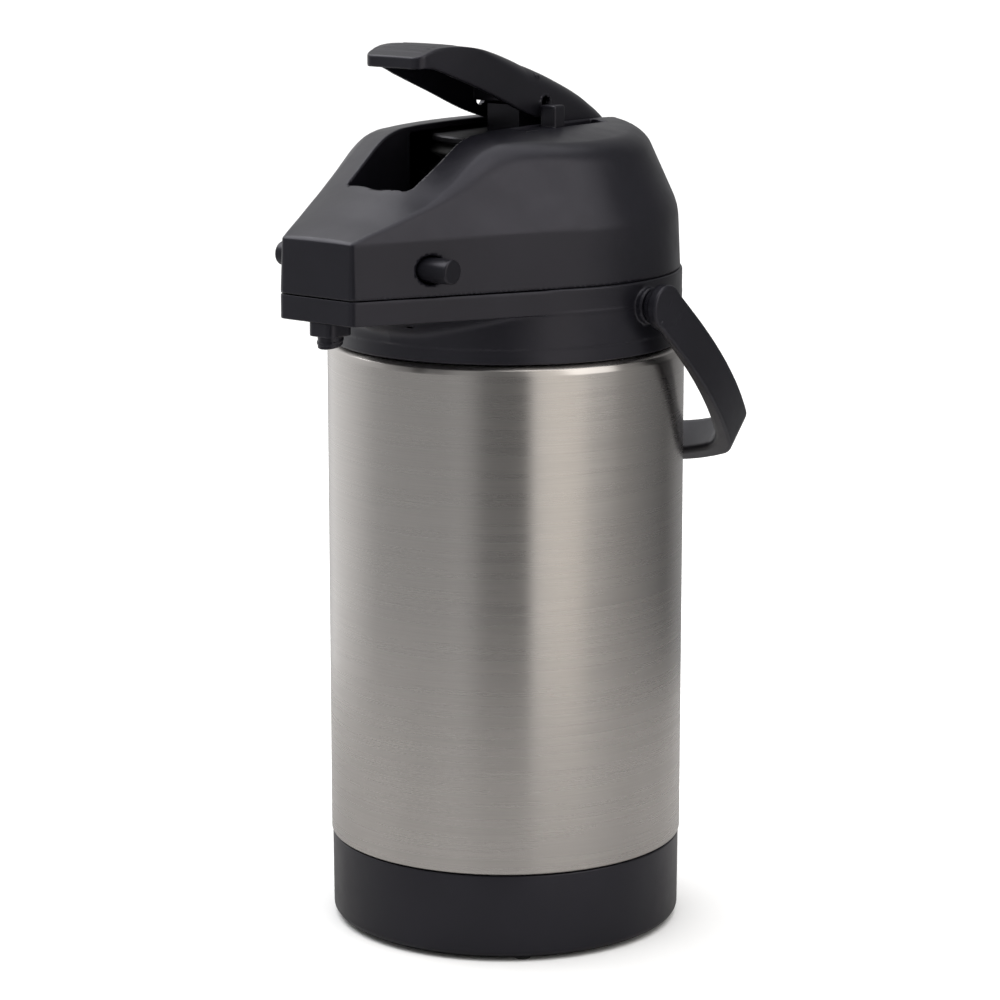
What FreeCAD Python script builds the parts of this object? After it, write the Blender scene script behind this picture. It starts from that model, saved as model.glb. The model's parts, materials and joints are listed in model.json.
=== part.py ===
"""Lever pump pot: an insulated jug whose hinged lid carries a lever-worked bellows pump.

Millimetres. +Z is up, the spout points to -Y, and the origin is on the ground under the
centre of the round shell. Every driving size is in the spreadsheet; a name that ends in _z
is a height above the ground.
"""
import FreeCAD, Part
import Sketcher
import math
import os
from FreeCAD import Placement, Rotation, Vector

doc = FreeCAD.newDocument("pump_pot")

SIZES = {
    # shell, liner and base
    "shell_radius": 89.0,
    "shell_wall": 0.8,
    "shell_base_z": 44.5,
    "shell_shoulder_z": 292.0,
    "shell_top_z": 297.2,
    "liner_radius": 76.0,
    "liner_wall": 0.8,
    "liner_base_z": 62.0,
    "liner_shoulder_z": 280.0,
    "neck_radius": 46.0,
    "neck_base_z": 299.0,
    "neck_top_z": 315.0,
    "base_radius": 88.4,
    "base_wall": 2.4,
    "foot_height": 1.2,
    # collar
    "collar_radius": 87.3,
    "collar_base_z": 297.4,
    "collar_top_z": 333.1,
    "collar_wall": 3.0,
    "deck_z": 311.0,
    "beak_base_z": 321.3,
    "beak_reach": 141.0,
    "beak_half_width": 22.7,
    # lid
    "lid_radius": 86.5,
    "lid_base_z": 333.5,
    "lid_crease_z": 362.8,
    "lid_top_z": 405.0,
    "lid_wall": 2.4,
    "lid_flare": 0.45,
    "well_half_width": 22.8,
    "well_front": 97.0,
    "well_rear": 67.0,
    "hinge_y": 88.0,
    "hinge_z": 334.5,
    "hinge_pin_radius": 1.5,
    "knuckle_radius": 4.2,
    # pump
    "lever_half_width": 21.7,
    "lever_wall": 2.4,
    "lever_pivot_y": 60.0,
    "lever_pivot_z": 393.5,
    "lever_pin_radius": 2.0,
    "pusher_radius": 37.0,
    "pusher_base_z": 396.0,
    "pusher_top_z": 399.6,
    "bracket_top_z": 413.2,
    "bellows_base_z": 338.0,
    "bellows_radius": 38.5,
    "bellows_depth": 7.0,
    "bellows_wall": 1.2,
    "pump_wall_radius": 41.0,
    "plug_radius": 17.0,
    # buttons and lock tabs
    "button_radius": 5.9,
    "button_y": -105.0,
    "button_z": 346.0,
    "button_outer_x": 53.7,
    "button_inner_x": 29.0,
    "tab_inner_x": 24.0,
    "tab_outer_x": 33.4,
    "tab_top_z": 414.5,
    # spout
    "pipe_radius": 4.5,
    "pipe_bore_radius": 3.5,
    "pipe_z": 327.6,
    "pipe_inlet_y": -30.0,
    "nozzle_y": -131.0,
    # handle
    "handle_pivot_z": 321.5,
    "handle_hang_deg": 41.5,
    "arm_inner_x": 95.0,
    "arm_outer_x": 101.0,
    "handle_width": 21.0,
    "handle_reach": 134.5,
    "handle_pin_radius": 4.0,
}

# one clearance for every running fit, and one for parts that must not touch
RUNNING_GAP = 0.05
FREE_GAP = 0.4

sheet = doc.addObject("Spreadsheet::Sheet", "Sizes")
for row, (alias, value) in enumerate(SIZES.items(), start=1):
    sheet.set("A%d" % row, alias)
    sheet.set("B%d" % row, str(value))
    sheet.setAlias("B%d" % row, alias)
doc.recompute()


def size(alias):
    """The value of one spreadsheet cell, in millimetres (or degrees)."""
    return float(sheet.get(alias))


def bound(formula):
    """A formula of sheet aliases, written as an expression of this document."""
    words = []
    for word in formula.split():
        words.append("Sizes." + word if word in SIZES else word)
    return " ".join(words)


def worth(formula):
    """The value of such a formula now."""
    total = 0.0
    sign = 1.0
    for word in formula.split():
        if word == "+":
            sign = 1.0
        elif word == "-":
            sign = -1.0
        else:
            total += sign * (size(word) if word in SIZES else float(word))
    return total


NODES = []


def node(obj, label):
    """Register an object as one sub-part, whose label names its file."""
    obj.Label = label
    NODES.append(obj)
    return obj


# ---------------------------------------------------------------- helpers

def bound_sketch(body, corners):
    """A closed outline on the body's XZ plane; each corner is a pair of sheet formulas."""
    plane = [f for f in body.Origin.OriginFeatures if f.Role == "XZ_Plane"][0]
    sketch = body.newObject("Sketcher::SketchObject", body.Name + "_outline")
    sketch.AttachmentSupport = [(plane, "")]
    sketch.MapMode = "FlatFace"
    points = [Vector(worth(a), worth(b), 0) for a, b in corners]
    count = len(points)
    for i in range(count):
        sketch.addGeometry(Part.LineSegment(points[i], points[(i + 1) % count]), False)
    for i in range(count):
        sketch.addConstraint(Sketcher.Constraint("Coincident", i, 2, (i + 1) % count, 1))
    for i, (a, b) in enumerate(corners):
        across = sketch.addConstraint(Sketcher.Constraint("DistanceX", -1, 1, i, 1, points[i].x))
        sketch.setExpression("Constraints[%d]" % across, bound(a))
        up = sketch.addConstraint(Sketcher.Constraint("DistanceY", -1, 1, i, 1, points[i].y))
        sketch.setExpression("Constraints[%d]" % up, bound(b))
    return sketch


def round_body(name, corners):
    """A body: the outline of (radius, height) corners turned about +Z."""
    body = doc.addObject("PartDesign::Body", name)
    sketch = bound_sketch(body, corners)
    turn = body.newObject("PartDesign::Revolution", name + "_turn")
    turn.Profile = sketch
    turn.ReferenceAxis = (sketch, ["V_Axis"])
    turn.Angle = 360
    return body


def turned(label, corners):
    """A round part of its own."""
    return node(round_body(label, corners), label)


def ring(label, inner, outer, low, high):
    """A plain ring between two radii and two heights, each a sheet formula."""
    return turned(label, [(inner, low), (outer, low), (outer, high), (inner, high)])


def box_between(x0, x1, y0, y1, z0, z1):
    return Part.makeBox(x1 - x0, y1 - y0, z1 - z0, Vector(x0, y0, z0))


def rod_x(radius, x0, x1, y, z):
    """A cylinder along X."""
    return Part.makeCylinder(radius, x1 - x0, Vector(x0, y, z), Vector(1, 0, 0))


def rod_z(radius, x, y, z0, z1):
    """A cylinder along Z."""
    return Part.makeCylinder(radius, z1 - z0, Vector(x, y, z0), Vector(0, 0, 1))


def feature(label, shape):
    """A sub-part whose shape is worked out here from the sheet's sizes."""
    obj = doc.addObject("Part::Feature", label)
    obj.Shape = shape
    return node(obj, label)


def mirrored(shape):
    return shape.mirror(Vector(0, 0, 0), Vector(1, 0, 0))


def curve_through(points, x):
    """A smooth edge through (y, z) points at one X."""
    spline = Part.BSplineCurve()
    spline.interpolate([Vector(x, y, z) for y, z in points])
    return spline.toShape()


def touch_point(radius, reach, half_width):
    """Where a beak's side, run from its front corner, touches the circle."""
    away = math.hypot(half_width, reach)
    bearing = math.atan2(-reach, half_width) + math.acos(radius / away)
    return Vector(radius * math.cos(bearing), radius * math.sin(bearing), 0)


def beak_outline(radius, reach, half_width, z):
    """The round body with its beak, seen from above, as a closed wire."""
    touch = touch_point(radius, reach, half_width)
    near_corner = Vector(half_width, -reach, z)
    far_corner = Vector(-half_width, -reach, z)
    near_touch = Vector(touch.x, touch.y, z)
    far_touch = Vector(-touch.x, touch.y, z)
    return Part.Wire([
        Part.LineSegment(far_corner, near_corner).toShape(),
        Part.LineSegment(near_corner, near_touch).toShape(),
        Part.Arc(near_touch, Vector(0, radius, z), far_touch).toShape(),
        Part.LineSegment(far_touch, far_corner).toShape(),
    ])


def grown_outline(radius, grow, z):
    """The beak outline moved outwards by one distance all round (inwards if negative)."""
    reach = size("beak_reach")
    half_width = size("beak_half_width")
    touch = touch_point(radius, reach, half_width)
    lean = math.atan2(touch.x - half_width, touch.y + reach)
    corner_gain = grow * (1 - math.sin(lean)) / math.cos(lean)
    return beak_outline(radius + grow, reach + grow, half_width + corner_gain, z)


def prism(radius, grow, z0, z1):
    return Part.Face(grown_outline(radius, grow, z0)).extrude(Vector(0, 0, z1 - z0))


# ---------------------------------------------------------------- shell, liner and base

turned("outer_shell", [
    ("shell_radius - 1.5", "shell_base_z"),
    ("shell_radius", "shell_base_z + 1.5"),
    ("shell_radius", "shell_shoulder_z"),
    ("shell_radius - 1.0", "shell_shoulder_z + 2.6"),
    ("shell_radius - 3.5", "shell_top_z - 0.8"),
    ("shell_radius - 8", "shell_top_z"),
    ("neck_radius + 4", "neck_base_z"),
    ("neck_radius + 4", "neck_base_z - 0.8"),
    ("shell_radius - 8", "shell_top_z - 0.8"),
    ("shell_radius - 4.1", "shell_top_z - 1.6"),
    ("shell_radius - 1.8", "shell_shoulder_z + 2.3"),
    ("shell_radius - 0.8", "shell_shoulder_z"),
    ("shell_radius - 0.8", "shell_base_z + 1.8"),
    ("shell_radius - 1.9", "shell_base_z + 0.8"),
    ("shell_radius - 9", "shell_base_z + 0.8"),
    ("shell_radius - 9", "shell_base_z"),
])

turned("shell_base_plate", [
    ("0", "shell_base_z + 1.0"),
    ("shell_radius - 3", "shell_base_z + 1.0"),
    ("shell_radius - 3", "shell_base_z + 2.0"),
    ("0", "shell_base_z + 2.0"),
])

turned("inner_liner", [
    ("0", "liner_base_z"),
    ("liner_radius - 8", "liner_base_z"),
    ("liner_radius - 2", "liner_base_z + 2.5"),
    ("liner_radius", "liner_base_z + 8"),
    ("liner_radius", "liner_shoulder_z"),
    ("liner_radius - 6", "liner_shoulder_z + 8"),
    ("neck_radius + 3", "neck_base_z - 3"),
    ("neck_radius", "neck_base_z"),
    ("neck_radius", "neck_top_z - 0.8"),
    ("neck_radius + 2.4", "neck_top_z - 0.8"),
    ("neck_radius + 2.4", "neck_top_z"),
    ("neck_radius - 0.8", "neck_top_z"),
    ("neck_radius - 0.8", "neck_base_z - 0.4"),
    ("neck_radius + 2", "neck_base_z - 4"),
    ("liner_radius - 6.8", "liner_shoulder_z + 7"),
    ("liner_radius - 0.8", "liner_shoulder_z - 0.4"),
    ("liner_radius - 0.8", "liner_base_z + 8.4"),
    ("liner_radius - 2.6", "liner_base_z + 3.2"),
    ("liner_radius - 8.4", "liner_base_z + 0.8"),
    ("0", "liner_base_z + 0.8"),
])

turned("liner_support", [
    ("20", "shell_base_z + 2.2"),
    ("30", "shell_base_z + 2.2"),
    ("30", "liner_base_z - 0.2"),
    ("20", "liner_base_z - 0.2"),
])

base_blank = round_body("base_cover_blank", [
    ("0", "foot_height + 5"),
    ("base_radius - 16", "foot_height + 5"),
    ("base_radius - 13", "foot_height"),
    ("base_radius - 4", "foot_height"),
    ("base_radius - 1.2", "foot_height + 1.2"),
    ("base_radius", "foot_height + 4"),
    ("base_radius", "shell_base_z - 0.3"),
    ("base_radius - 9.4", "shell_base_z - 0.3"),
    ("base_radius - 9.4", "shell_base_z - 2.7"),
    ("base_radius - 2.4", "shell_base_z - 2.7"),
    ("base_radius - 2.4", "foot_height + 5"),
    ("base_radius - 4.4", "foot_height + 2.6"),
    ("base_radius - 11.6", "foot_height + 2.6"),
    ("base_radius - 14.6", "foot_height + 7.4"),
    ("0", "foot_height + 7.4"),
])

FOOT_COUNT = 4
feet = []
for i in range(FOOT_COUNT):
    bearing = math.radians(45 + 360 * i / FOOT_COUNT)
    reach = size("base_radius") - 8.5
    foot_x = reach * math.cos(bearing)
    foot_y = reach * math.sin(bearing)
    feet.append(rod_z(4.0, foot_x, foot_y, 0, size("foot_height")))
# a pad in the middle keeps the thin floor of the base from drumming
feet.append(rod_z(8.0, 0, 0, 0, size("foot_height") + 5))
feature("base_feet", Part.Compound(feet))


def pan_screw(shank_radius, length, head_radius, head_height):
    """A pan-head screw, head down at the origin, with a cross recess in the head."""
    head = Part.makeCylinder(head_radius, head_height)
    shank = Part.makeCylinder(shank_radius, length, Vector(0, 0, head_height))
    recess = Part.makeBox(head_radius * 1.2, 0.7, 1.0, Vector(-head_radius * 0.6, -0.35, 0))
    turned_recess = recess.copy()
    turned_recess.rotate(Vector(0, 0, 0), Vector(0, 0, 1), 90)
    return head.fuse(shank).cut(recess).cut(turned_recess)


def screw_ring(count, radius, low_z, start_deg, screw):
    """Copies of one screw, evenly spaced on a circle."""
    copies = []
    for i in range(count):
        bearing = math.radians(start_deg + 360 * i / count)
        copy = screw.copy()
        copy.translate(Vector(radius * math.cos(bearing), radius * math.sin(bearing), low_z))
        copies.append(copy)
    return Part.Compound(copies)


BASE_SCREW_RING = 40.0
base_screw = pan_screw(1.8, 37.0, 3.4, 1.8)
base_screws = screw_ring(3, BASE_SCREW_RING, size("foot_height") + 3.2, 90, base_screw)
feature("base_screws", base_screws)

screw_holes = doc.addObject("Part::Feature", "base_screw_holes")
clearance_screw = pan_screw(2.0, 37.0, 3.6, 2.0)
screw_holes.Shape = screw_ring(3, BASE_SCREW_RING, size("foot_height") + 3.0, 90, clearance_screw)
base_cover = doc.addObject("Part::Cut", "base_cover")
base_cover.Base = base_blank
base_cover.Tool = screw_holes
node(base_cover, "base_cover")

# ---------------------------------------------------------------- collar

collar_radius = size("collar_radius")
collar_wall = size("collar_wall")
collar_base_z = size("collar_base_z")
collar_top_z = size("collar_top_z")
beak_base_z = size("beak_base_z")
beak_reach = size("beak_reach")
beak_half_width = size("beak_half_width")
deck_z = size("deck_z")

# the concave throat under the beak: the beak's tip draws back to the round wall as it goes down
THROAT = [(118.0, 20.0, 0.0), (103.0, 17.0, 3.0), (95.0, 14.0, 7.5), (89.5, 10.0, 14.0)]
throat_wires = []
for reach, half_width, drop in THROAT:
    throat_wires.append(beak_outline(collar_radius, reach, half_width, beak_base_z + 0.2 - drop))
throat = Part.makeLoft(throat_wires, True, True)
drum = Part.makeCylinder(collar_radius, collar_top_z - collar_base_z, Vector(0, 0, collar_base_z))
beak = prism(collar_radius, 0, beak_base_z, collar_top_z)
collar_solid = drum.fuse(throat).fuse(beak).removeSplitter()

hollow_top = prism(collar_radius, -collar_wall, beak_base_z + 1.4, collar_top_z + 1)
hollow_bowl = Part.makeCylinder(collar_radius - collar_wall, collar_top_z - deck_z - 3,
                                Vector(0, 0, deck_z + 3))
hollow_skirt = Part.makeCylinder(collar_radius - collar_wall, deck_z - collar_base_z + 1,
                                 Vector(0, 0, collar_base_z - 1))
mouth = Part.makeCylinder(size("neck_radius") + 1.0, 60, Vector(0, 0, collar_base_z - 10))
nozzle_y = size("nozzle_y")
pipe_radius = size("pipe_radius")
spout_hole = rod_z(pipe_radius + 0.3, 0, nozzle_y, beak_base_z - 5, collar_top_z)

hinge_y = size("hinge_y")
hinge_z = size("hinge_z")
knuckle_radius = size("knuckle_radius")
hinge_pin_radius = size("hinge_pin_radius")
COLLAR_KNUCKLE = (12.0, 20.0)
LID_KNUCKLE = 11.6


def knuckle(x0, x1, root_z, below):
    """A hinge knuckle round the hinge axis, with a web that joins it to the wall."""
    barrel = rod_x(knuckle_radius, x0, x1, hinge_y, hinge_z)
    web_y = (hinge_y - 5.5, hinge_y + knuckle_radius)
    low, high = (root_z, hinge_z) if below else (hinge_z, root_z)
    return barrel.fuse(box_between(x0, x1, web_y[0], web_y[1], low, high))


collar_ears = []
for side in (-1, 1):
    x0, x1 = sorted((side * COLLAR_KNUCKLE[0], side * COLLAR_KNUCKLE[1]))
    collar_ears.append(knuckle(x0, x1, hinge_z - 13, True))
hinge_bore = rod_x(hinge_pin_radius + RUNNING_GAP, -30, 30, hinge_y, hinge_z)
lid_knuckle_room = box_between(-12, 12, hinge_y - 6.5, hinge_y + 8,
                               hinge_z - knuckle_radius - 0.8, 345)
ear_room = Part.makeCylinder(collar_radius - collar_wall, 40, Vector(0, 0, collar_top_z - 2))

handle_pivot_z = size("handle_pivot_z")
handle_pin_radius = size("handle_pin_radius")
BOSS_RADIUS = 9.0
BOSS_FACE = 91.0
boss = rod_x(BOSS_RADIUS, 80, BOSS_FACE, 0, handle_pivot_z)
pin_hole = rod_x(handle_pin_radius, 84, 95, 0, handle_pivot_z)

# catches inside the beak for the lid's latch hooks
button_y = size("button_y")
CATCH_Z = (328.6, 331.0)
catch_block = box_between(36.0, 42.0, button_y - 5, button_y + 5, CATCH_Z[0], CATCH_Z[1])
catch_block = catch_block.common(beak)

collar_shape = collar_solid.cut(hollow_top).cut(hollow_bowl).cut(hollow_skirt)
collar_shape = collar_shape.cut(mouth).cut(spout_hole)
for ear in collar_ears:
    collar_shape = collar_shape.fuse(ear.cut(ear_room))
collar_shape = collar_shape.cut(lid_knuckle_room).cut(hinge_bore)
collar_shape = collar_shape.fuse(boss).fuse(mirrored(boss)).cut(pin_hole).cut(mirrored(pin_hole))
collar_shape = collar_shape.fuse(catch_block).fuse(mirrored(catch_block))

handle_pins = rod_x(handle_pin_radius, 84, size("arm_outer_x") - 1.5, 0, handle_pivot_z)
feature("handle_pivot_pins", Part.Compound([handle_pins, mirrored(handle_pins)]))

feature("lid_hinge_pin", rod_x(hinge_pin_radius, -20, 20, hinge_y, hinge_z))

# ---------------------------------------------------------------- mouth: ring nut, seals, spout tubing

ring("neck_clamp_ring", "neck_radius + 3", "neck_radius + 9", "deck_z + 3", "deck_z + 6")
ring("neck_gasket", "neck_radius + 1.2", "neck_radius + 6", "neck_base_z", "neck_base_z + 4")
ring("flange_gasket", "neck_radius - 6", "neck_radius + 2", "neck_top_z", "neck_top_z + 1.6")

pipe_inlet_y = size("pipe_inlet_y")
flange_z = size("neck_top_z") + 1.6
flange = Part.makeCylinder(size("neck_radius") + 1.6, 2.4, Vector(0, 0, flange_z))
air_hole = rod_z(8.0, 0, 0, flange_z - 2, flange_z + 8)
seat = rod_z(14.0, 0, 0, flange_z, flange_z + 3.2)
seat = seat.cut(rod_z(11.0, 0, 0, flange_z - 1, flange_z + 8))
port = rod_z(pipe_radius, 0, pipe_inlet_y, flange_z - 5, flange_z + 5)
cage = rod_z(8.0, 0, pipe_inlet_y, flange_z - 12, flange_z)
cage_room = rod_z(6.2, 0, pipe_inlet_y, flange_z - 10.5, flange_z + 1)
siphon_flange = flange.fuse(seat).fuse(cage).cut(cage_room).cut(air_hole).cut(port)
feature("siphon_flange", siphon_flange.removeSplitter())

ball_z = flange_z - 10.5 + 4.0
ball = Part.makeSphere(3.9, Vector(0, pipe_inlet_y, ball_z))
feature("anti_spill_ball", ball)

pipe_bore = size("pipe_bore_radius")
dip_top = flange_z - 12
dip_low = size("liner_base_z") + 8
dip_tube = rod_z(pipe_radius, 0, pipe_inlet_y, dip_low, dip_top)
dip_tube = dip_tube.cut(rod_z(pipe_bore, 0, pipe_inlet_y, 0, 400))
feature("dip_tube", dip_tube)

BEND = 7.0
pipe_z = size("pipe_z")
rise = Vector(0, pipe_inlet_y, flange_z + 0.1)
first = Vector(0, pipe_inlet_y, pipe_z)
second = Vector(0, nozzle_y, pipe_z)
fall = Vector(0, nozzle_y, beak_base_z - 3.5)


def quarter(corner, from_dir, to_dir):
    """The arc that rounds one right-angled corner of the pipe."""
    start = corner - from_dir * BEND
    end = corner + to_dir * BEND
    centre = start + to_dir * BEND
    middle = centre + (corner - centre).normalize() * BEND
    return start, Part.Arc(start, middle, end).toShape(), end


up, forward, down = Vector(0, 0, 1), Vector(0, -1, 0), Vector(0, 0, -1)
start_1, arc_1, end_1 = quarter(first, up, forward)
start_2, arc_2, end_2 = quarter(second, forward, down)
route = Part.Wire([
    Part.LineSegment(rise, start_1).toShape(), arc_1,
    Part.LineSegment(end_1, start_2).toShape(), arc_2,
    Part.LineSegment(end_2, fall).toShape(),
])


def pipe_along(radius):
    circle = Part.Wire(Part.Circle(rise, up, radius).toShape())
    return route.makePipeShell([circle], True, True)


feature("spout_pipe", pipe_along(pipe_radius).cut(pipe_along(pipe_bore)))
collar_shape = collar_shape.cut(pipe_along(pipe_radius + 0.3))

holder_top = beak_base_z - 0.05
HOLDER_HALF = 8.0
holder = box_between(-HOLDER_HALF, HOLDER_HALF, nozzle_y - HOLDER_HALF, nozzle_y + HOLDER_HALF,
                     holder_top - 7.0, holder_top)
collar_shape = collar_shape.cut(holder)
feature("collar", collar_shape.removeSplitter())
holder = holder.makeFillet(4.0, [e for e in holder.Edges if abs(e.BoundBox.ZLength - 7.0) < 0.01])
holder = holder.cut(rod_z(6.4, 0, nozzle_y, holder_top - 9, holder_top + 1))
feature("nozzle_holder", holder)

NOZZLE_RADIUS = 6.0
nozzle_top = holder_top - 0.6
nozzle_tip = nozzle_top - 12.0
nozzle = rod_z(NOZZLE_RADIUS, 0, nozzle_y, nozzle_tip, nozzle_top)
slant = Part.makeBox(40, 40, 20, Vector(-20, nozzle_y - 20, nozzle_tip - 20))
slant.rotate(Vector(0, nozzle_y, nozzle_tip + 1.2), Vector(1, 0, 0), 14)
nozzle = nozzle.cut(rod_z(NOZZLE_RADIUS - 1.6, 0, nozzle_y, nozzle_tip - 1, nozzle_top - 5))
nozzle = nozzle.cut(slant)
nozzle = nozzle.cut(rod_z(pipe_radius + 0.05, 0, nozzle_y, nozzle_top - 6, nozzle_top + 1))
feature("spout_nozzle", nozzle)

# ---------------------------------------------------------------- lid cover

lid_radius = size("lid_radius")
lid_wall = size("lid_wall")
lid_base_z = size("lid_base_z")
lid_top_z = size("lid_top_z")
crease_z = size("lid_crease_z")
flare = size("lid_flare")
CREASE_TILT = 1.4

# the lid's roof line, from the beak's front edge back to the level top, as (y, z)
ROOF = [(-141.0, 358.9), (-121.0, 367.8), (-97.0, 379.6), (-82.0, 388.8), (-69.0, 397.2)]
ROOF_BEND = [(-59.0, 402.0), (-46.0, 404.4), (-30.0, 405.0)]


def roof_cutter(drop):
    """Everything under the roof line, as a slab across the lid."""
    line = [(y, z - drop) for y, z in ROOF + ROOF_BEND]
    top = curve_through(line, -120)
    start, end = line[0], line[-1]
    corners = [
        Vector(-120, end[0], end[1]), Vector(-120, 110, end[1]), Vector(-120, 110, 300),
        Vector(-120, -160, 300), Vector(-120, -160, start[1] - 7.0), Vector(-120, start[0], start[1]),
    ]
    wire = Part.Wire([top] + Part.makePolygon(corners).Edges)
    return Part.Face(wire).extrude(Vector(240, 0, 0))


def lid_form(inset):
    """The lid's outer form, drawn in by a wall thickness."""
    walls = prism(lid_radius, -inset, lid_base_z - (1 if inset else 0), lid_top_z + 10)
    low, high = 40.0, 50.0
    skirt = grown_outline(lid_radius, low * flare - inset * 1.1, crease_z - low)
    crown = grown_outline(lid_radius, -high * flare - inset * 1.1, crease_z + high)
    taper = Part.makeLoft([skirt, crown], True, True)
    taper.rotate(Vector(0, 0, crease_z), Vector(1, 0, 0), CREASE_TILT)
    return walls.common(taper).common(roof_cutter(inset))


lid_outer = lid_form(0)
lid_inner = lid_form(lid_wall)
lid_shape = lid_outer.cut(lid_inner)

well_half = size("well_half_width")
well_front = -size("well_front")
well_rear = size("well_rear")
WELL_FRONT_HALF = 20.0
WELL_STEP_Y = -46.0
WELL_FLOOR_Z = 364.0
well_plan = [
    (-WELL_FRONT_HALF, well_front), (WELL_FRONT_HALF, well_front), (well_half, -70.0),
    (well_half, well_rear), (-well_half, well_rear), (-well_half, -70.0),
]


def plan_prism(points, z0, z1):
    """A straight-sided block with a closed outline of (x, y) points."""
    wire = Part.makePolygon([Vector(x, y, z0) for x, y in points + points[:1]])
    return Part.Face(wire).extrude(Vector(0, 0, z1 - z0))


TUB_WALL = 1.8
tub_plan = [
    (-WELL_FRONT_HALF - TUB_WALL, well_front - TUB_WALL),
    (WELL_FRONT_HALF + TUB_WALL, well_front - TUB_WALL),
    (well_half + TUB_WALL, -70.0), (well_half + TUB_WALL, WELL_STEP_Y),
    (-well_half - TUB_WALL, WELL_STEP_Y), (-well_half - TUB_WALL, -70.0),
]
tub = plan_prism(tub_plan, WELL_FLOOR_Z - TUB_WALL, lid_top_z + 5).common(lid_form(0.6))
lid_shape = lid_shape.fuse(tub).cut(plan_prism(well_plan, WELL_FLOOR_Z, lid_top_z + 20))

pivot_y = size("lever_pivot_y")
pivot_z = size("lever_pivot_z")
lever_pin_radius = size("lever_pin_radius")
EAR = (23.4, 26.4)
ear = box_between(EAR[0], EAR[1], pivot_y - 5, pivot_y + 5, pivot_z - 5.5, lid_top_z - 1)
ear = ear.cut(rod_x(lever_pin_radius, 20, 30, pivot_y, pivot_z))
lid_shape = lid_shape.fuse(ear).fuse(mirrored(ear))

# a slot for the lock tab, holes for the release buttons
SLOT_Y = (-26.0, 38.0)
SLOT_MARGIN = 0.7
tab_inner_x = size("tab_inner_x")
tab_outer_x = size("tab_outer_x")
slot = box_between(tab_inner_x - SLOT_MARGIN, tab_outer_x + SLOT_MARGIN, SLOT_Y[0], SLOT_Y[1],
                   lid_top_z - 8, lid_top_z + 5)
button_radius = size("button_radius")
button_z = size("button_z")
button_hole = rod_x(button_radius + 0.8, 24, 70, button_y, button_z)
lid_shape = lid_shape.cut(slot).cut(button_hole).cut(mirrored(button_hole))

lid_knuckle = knuckle(-LID_KNUCKLE, LID_KNUCKLE, hinge_z + 13, False)
collar_knuckle_room = box_between(-20.8, 20.8, hinge_y - 6.5, hinge_y + 8,
                                  lid_base_z - 2, hinge_z + knuckle_radius + 0.8)
collar_knuckle_room = collar_knuckle_room.cut(box_between(-12, 12, 0, 200, 0, 500))
lid_shape = lid_shape.cut(collar_knuckle_room)
lid_shape = lid_shape.fuse(lid_knuckle.cut(lid_form(lid_wall)))
lid_shape = lid_shape.cut(rod_x(hinge_pin_radius + RUNNING_GAP, -30, 30, hinge_y, hinge_z))

# four posts take the screws that hold the pump housing
POST_RING = 62.0
POST_START = 45.0
for i in range(4):
    bearing = math.radians(POST_START + 90 * i)
    px = POST_RING * math.cos(bearing)
    py = POST_RING * math.sin(bearing)
    post = rod_z(3.6, px, py, lid_base_z + 4.2, lid_top_z).common(lid_form(0.6))
    lid_shape = lid_shape.fuse(post.cut(rod_z(1.5, px, py, lid_base_z, lid_base_z + 20)))
feature("lid_cover", lid_shape.removeSplitter())

feature("lever_pivot_pin", rod_x(lever_pin_radius, -EAR[1], EAR[1], pivot_y, pivot_z))

# ---------------------------------------------------------------- pump inside the lid

plate = prism(lid_radius, -lid_wall - 0.4, lid_base_z + 0.6, lid_base_z + 3.6)
plug_radius = size("plug_radius")
pump_wall = size("pump_wall_radius")
cylinder = Part.makeCylinder(pump_wall + 2, 46, Vector(0, 0, lid_base_z + 1))
cylinder = cylinder.cut(Part.makeCylinder(pump_wall, 60, Vector(0, 0, lid_base_z + 3.6)))
plug = Part.makeCylinder(plug_radius, 12.0, Vector(0, 0, lid_base_z - 10.5))
plug = plug.cut(Part.makeCylinder(plug_radius - 2.4, 14, Vector(0, 0, lid_base_z - 11)))
housing = plate.fuse(cylinder).fuse(plug)
for i in range(4):
    bearing = math.radians(POST_START + 90 * i)
    px = POST_RING * math.cos(bearing)
    py = POST_RING * math.sin(bearing)
    housing = housing.cut(rod_z(1.8, px, py, 300, 360))
hook_slot = box_between(22.0, 38.4, button_y - 4.6, button_y + 4.6, lid_base_z - 1, lid_base_z + 6)
AIR_PORTS = 6
for i in range(AIR_PORTS):
    bearing = math.radians(360 * i / AIR_PORTS)
    px = 8 * math.cos(bearing)
    py = 8 * math.sin(bearing)
    housing = housing.cut(rod_z(2.2, px, py, 330, 342))
hinge_notch = box_between(-21, 21, hinge_y - 7, hinge_y + 6, 320, 345)
housing = housing.cut(hook_slot).cut(mirrored(hook_slot)).cut(hinge_notch)
feature("pump_housing", housing.removeSplitter())

ring("lid_gasket", "plug_radius - 6.4", "plug_radius", "lid_base_z - 12.6", "lid_base_z - 10.5")
turned("air_valve", [
    ("0", "bellows_base_z - 0.8"), ("12", "bellows_base_z - 0.8"),
    ("12", "bellows_base_z + 0.4"), ("0", "bellows_base_z + 0.4"),
])
lid_screw = pan_screw(1.4, 11.0, 2.8, 1.6)
lid_screws = screw_ring(4, POST_RING, lid_base_z - 1.0, POST_START, lid_screw)
feature("lid_screws", lid_screws)

# the bellows: a thin wall that zigzags between two radii
BELLOWS_FOLDS = 6
fold_height = (size("pusher_base_z") - size("bellows_base_z")) / (2 * BELLOWS_FOLDS)
outer_side = []
inner_side = []
for i in range(2 * BELLOWS_FOLDS + 1):
    fold = "" if i % 2 else " - bellows_depth"
    level = "bellows_base_z + %.4f" % (i * fold_height)
    outer_side.append(("bellows_radius" + fold, level))
    inner_side.append(("bellows_radius" + fold + " - bellows_wall", level))
turned("bellows", outer_side + inner_side[::-1])


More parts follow.
